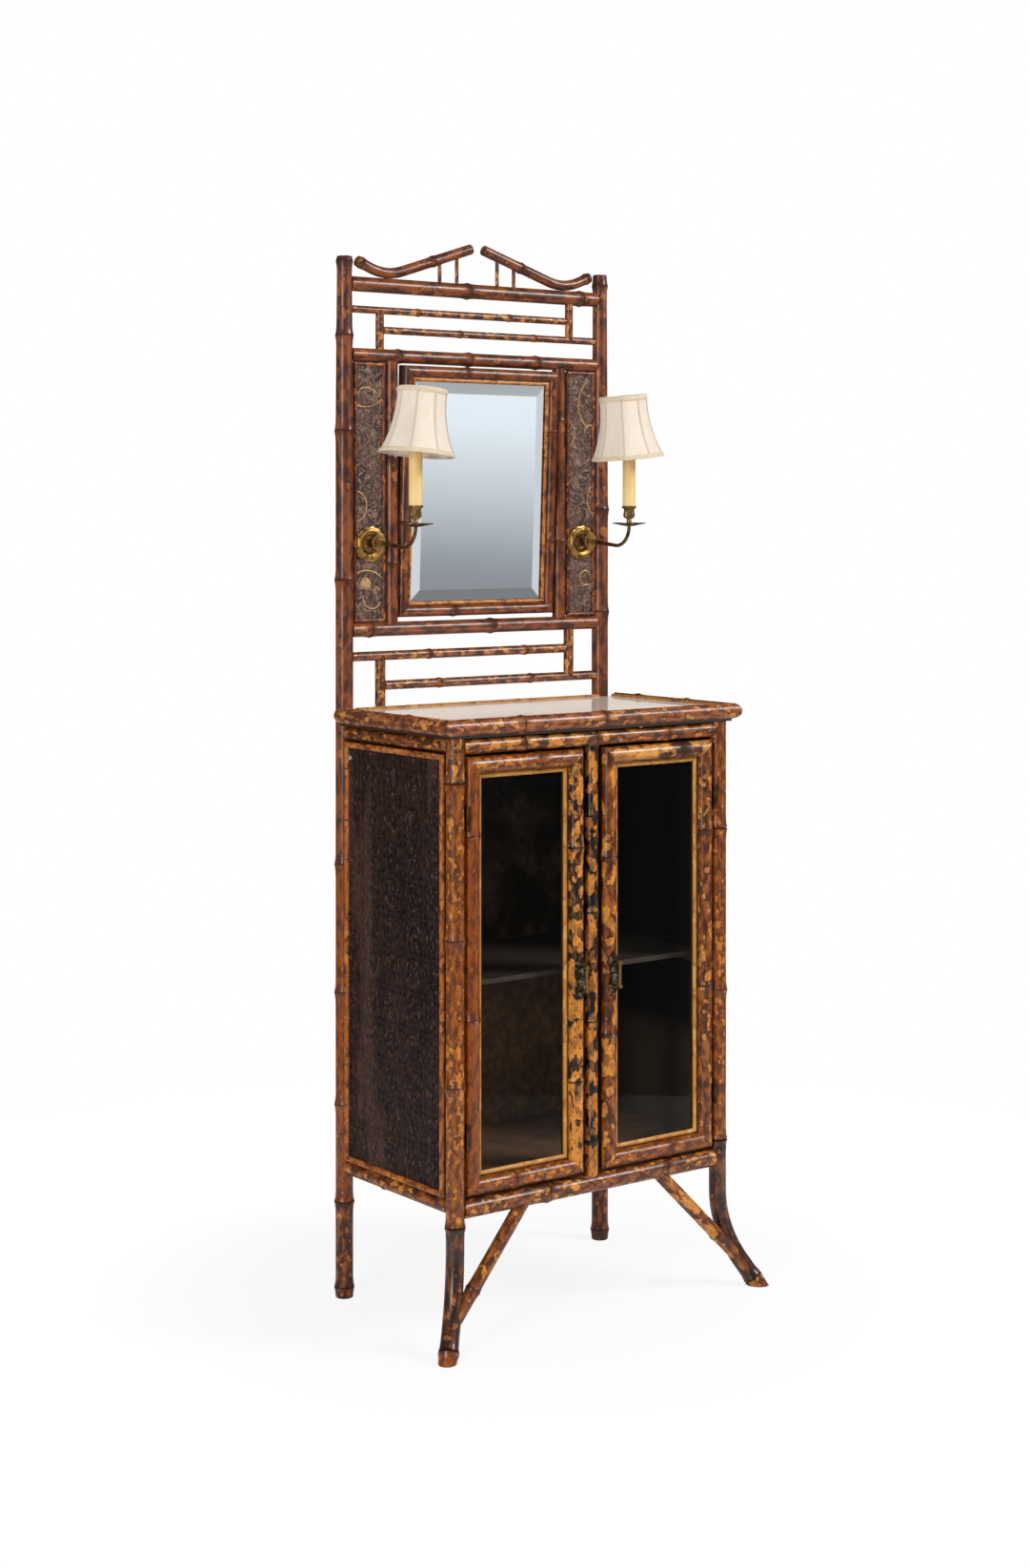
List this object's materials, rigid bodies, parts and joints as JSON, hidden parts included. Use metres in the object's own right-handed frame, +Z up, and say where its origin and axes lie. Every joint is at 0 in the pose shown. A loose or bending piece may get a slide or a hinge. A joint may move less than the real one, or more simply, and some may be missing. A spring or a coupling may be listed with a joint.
{
  "type": "hall cabinet",
  "caption": "Bamboo hall cabinet: glazed cupboard with hinged doors on splayed front feet, below a tilting bevelled mirror between papered panels with shaded candle sconces.",
  "frame": {"origin": "on the floor, under the middle of the cabinet's box", "axes": "+X to the viewer's right, -Y out of the front, +Z up"},
  "size_m": [0.675, 0.3996, 1.7666],
  "materials": {
    "dark_bamboo": "dark red-brown bamboo, semi-gloss",
    "tortoise_bamboo": "scorched golden bamboo with dark spots, semi-gloss",
    "gold_cane": "light split cane, semi-gloss",
    "softwood": "dark stained softwood",
    "embossed_panel": "dark embossed paper on board",
    "gilt_panel": "embossed paper with gilt scrolls, on board",
    "lacquer_top": "pale glossy lacquer, finely crazed",
    "clear_glass": "clear window glass",
    "mirror_plate": "silvered bevelled glass",
    "antique_brass": "aged brass with gilt highlights",
    "dark_bronze": "dark bronze with a gilt bar",
    "hinge_brass": "dull brass",
    "candle_card": "waxed candle tube",
    "lampholder": "moulded lampholder",
    "bulb_glass": "frosted glass",
    "shade_cloth": "cream silk stretched over ribs",
    "shade_wire": "painted wire"
  },
  "bodies": {
    "cabinet": {"left_rear_post": "dark_bamboo", "right_rear_post": "dark_bamboo", "left_front_leg": "tortoise_bamboo", "right_front_leg": "tortoise_bamboo", "front_leg_braces": "dark_bamboo", "front_top_rail": "tortoise_bamboo", "front_bottom_rail": "tortoise_bamboo", "side_rails": "tortoise_bamboo", "rear_battens": "softwood", "left_side_panel": "embossed_panel", "right_side_panel": "embossed_panel", "side_panel_beads": "gold_cane", "back_panel": "softwood", "cabinet_floor": "softwood", "shelf": "softwood", "shelf_bearers": "softwood", "door_stop": "softwood", "centre_post": "tortoise_bamboo", "top_board": "lacquer_top", "top_nosing": "dark_bamboo", "top_beads": "gold_cane", "crest_rail": "dark_bamboo", "upper_cross_rail": "dark_bamboo", "lower_cross_rail": "dark_bamboo", "upper_fret": "dark_bamboo", "lower_fret": "dark_bamboo", "crest_scrolls": "dark_bamboo", "crest_spindles": "dark_bamboo", "mirror_stiles": "dark_bamboo", "wing_panels": "gilt_panel", "wing_beads": "gold_cane", "post_hinge_leaves": "hinge_brass", "sconce_backplates": "antique_brass", "sconce_arms": "antique_brass", "bulbs": "bulb_glass", "drip_pans": "antique_brass", "candle_cups": "antique_brass", "candle_sleeves": "candle_card", "lampholders": "lampholder"},
    "left_door": {"left_door_frame": "softwood", "left_door_bamboo": "tortoise_bamboo", "left_door_beads": "gold_cane", "left_door_glass": "clear_glass", "left_door_pull": "dark_bronze", "left_door_hinges": "hinge_brass"},
    "right_door": {"right_door_frame": "softwood", "right_door_bamboo": "tortoise_bamboo", "right_door_beads": "gold_cane", "right_door_glass": "clear_glass", "right_door_pull": "dark_bronze", "right_door_hinges": "hinge_brass"},
    "mirror": {"mirror_tray": "softwood", "mirror_glass": "mirror_plate", "mirror_frame": "dark_bamboo", "mirror_bead": "gold_cane", "mirror_pivots": "hinge_brass"},
    "left_lampshade": {"left_shade": "shade_cloth", "left_shade_frame": "shade_wire"},
    "right_lampshade": {"right_shade": "shade_cloth", "right_shade_frame": "shade_wire"}
  },
  "joints": [
    {"name": "left_door_hinge", "type": "hinge", "parent": "cabinet", "child": "left_door", "pos_m": [-0.25665, -0.14677, 0.57696], "axis": [0, 0, -1], "range_deg": [0, 110]},
    {"name": "right_door_hinge", "type": "hinge", "parent": "cabinet", "child": "right_door", "pos_m": [0.25665, -0.14677, 0.57696], "axis": [0, 0, 1], "range_deg": [0, 110]},
    {"name": "mirror_tilt", "type": "hinge", "parent": "cabinet", "child": "mirror", "pos_m": [0, 0.18273, 1.3395], "axis": [1, 0, 0], "range_deg": [-30, 25]},
    {"name": "left_shade_turn", "type": "hinge", "parent": "cabinet", "child": "left_lampshade", "pos_m": [-0.22518, 0.04273, 1.374], "axis": [0.1045, 0, 0.9945], "continuous": true},
    {"name": "right_shade_turn", "type": "hinge", "parent": "cabinet", "child": "right_lampshade", "pos_m": [0.22518, 0.04273, 1.374], "axis": [-0.1045, 0, 0.9945], "continuous": true}
  ]
}
